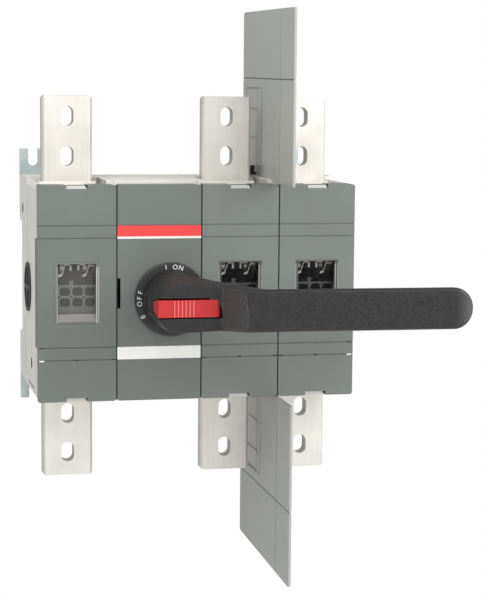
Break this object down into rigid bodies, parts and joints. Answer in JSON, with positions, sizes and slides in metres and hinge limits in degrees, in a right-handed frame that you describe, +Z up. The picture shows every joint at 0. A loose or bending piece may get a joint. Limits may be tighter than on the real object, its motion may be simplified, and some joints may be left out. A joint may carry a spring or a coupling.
{
  "type": "switch disconnector",
  "caption": "Enclosed panel-mounted switch disconnector with moulded pole modules, slotted terminal bars, phase barriers and a rotary pistol handle that takes padlocks.",
  "frame": {"origin": "centre of the mounting panel's plane, midway between the outer modules and midway up the covers", "axes": "+X to the right, +Z up, the front and the handle face -Y; the mounting panel is the plane y = 0"},
  "size_m": [0.4144, 0.274, 0.5719],
  "materials": {
    "casing": "fine matt moulding, warm light grey",
    "cover": "fine matt moulding, green-grey",
    "window": "clear moulding, slightly smoked",
    "tinned_copper": "dull tin plating on copper",
    "silvered_copper": "copper with a thin silver plating",
    "plain_steel": "plain steel",
    "plated_steel": "zinc plated, satin",
    "zinc_plate": "blue zinc plated sheet",
    "black_moulding": "matt black moulding",
    "black_gloss": "satin black moulding with white print",
    "handle_black": "satin black moulding",
    "lever_red": "satin red moulding",
    "red_label": "printed red label, bare",
    "white_label": "printed white label, bare",
    "barrier_grey": "grey insulating sheet"
  },
  "bodies": {
    "body": {"pole_1_case_left": "casing", "pole_1_case_right": "casing", "pole_1_cover": "cover", "pole_1_window": "window", "pole_1_upper_contact": "tinned_copper", "pole_1_lower_contact": "tinned_copper", "pole_1_arc_plates": "plain_steel", "pole_1_screen": "plain_steel", "pole_2_case_left": "casing", "pole_2_case_right": "casing", "pole_2_cover": "cover", "pole_2_window": "window", "pole_2_upper_contact": "tinned_copper", "pole_2_lower_contact": "tinned_copper", "pole_2_arc_plates": "plain_steel", "pole_2_screen": "plain_steel", "pole_3_case_left": "casing", "pole_3_case_right": "casing", "pole_3_cover": "cover", "pole_3_window": "window", "pole_3_upper_contact": "tinned_copper", "pole_3_lower_contact": "tinned_copper", "pole_3_arc_plates": "plain_steel", "pole_3_screen": "plain_steel", "drive_case_left": "casing", "drive_case_right": "casing", "drive_cover": "cover", "name_strip": "red_label", "marking_label": "white_label", "dial_plate": "black_gloss", "mechanism_frame": "plain_steel", "upper_spring": "plain_steel", "lower_spring": "plain_steel", "foot_upper_left": "zinc_plate", "foot_upper_right": "zinc_plate", "foot_lower_left": "zinc_plate", "foot_lower_right": "zinc_plate", "foot_screws": "plated_steel", "tie_rods": "plated_steel", "side_plugs": "black_moulding", "upper_barrier": "barrier_grey", "lower_barrier": "barrier_grey", "barrier_knobs": "black_moulding"},
    "handle": {"handle_grip": "handle_black", "handle_screw": "plated_steel", "operating_shaft": "plain_steel", "drive_pinion": "plain_steel", "lever_pin": "plated_steel", "lever_spring": "plain_steel"},
    "padlock_lever": {"padlock_lever": "lever_red"},
    "rack": {"rack": "plain_steel"},
    "contact_shaft": {"contact_shaft": "plain_steel", "contact_pinion": "plain_steel", "pole_1_rotor": "black_moulding", "pole_2_rotor": "black_moulding", "pole_3_rotor": "black_moulding", "pole_1_blades": "silvered_copper", "pole_2_blades": "silvered_copper", "pole_3_blades": "silvered_copper"}
  },
  "joints": [
    {"name": "handle_turn", "type": "hinge", "parent": "body", "child": "handle", "pos_m": [-0.0275, -0.205, -0.0063], "axis": [0, 1, 0], "range_deg": [0, 90]},
    {"name": "padlock_lever_lift", "type": "hinge", "parent": "handle", "child": "padlock_lever", "pos_m": [0.0014, -0.2419, -0.0063], "axis": [0, 0, 1], "range_deg": [0, 25], "stiffness_Nm_per_rad": 0.02, "springref_deg": -20.05},
    {"name": "rack_slide", "type": "slide", "parent": "body", "child": "rack", "axis": [0, 0, 1], "range_m": [0, 0.0236], "deforming": ["upper_spring", "lower_spring"]},
    {"name": "contact_shaft_turn", "type": "hinge", "parent": "body", "child": "contact_shaft", "pos_m": [0, -0.088, 0], "axis": [-1, 0, 0], "range_deg": [0, 54.1]}
  ],
  "couplings": [
    {"joint": "rack_slide", "follows": "handle_turn", "m_per_rad": 0.015},
    {"joint": "contact_shaft_turn", "follows": "handle_turn", "ratio": 0.6}
  ]
}
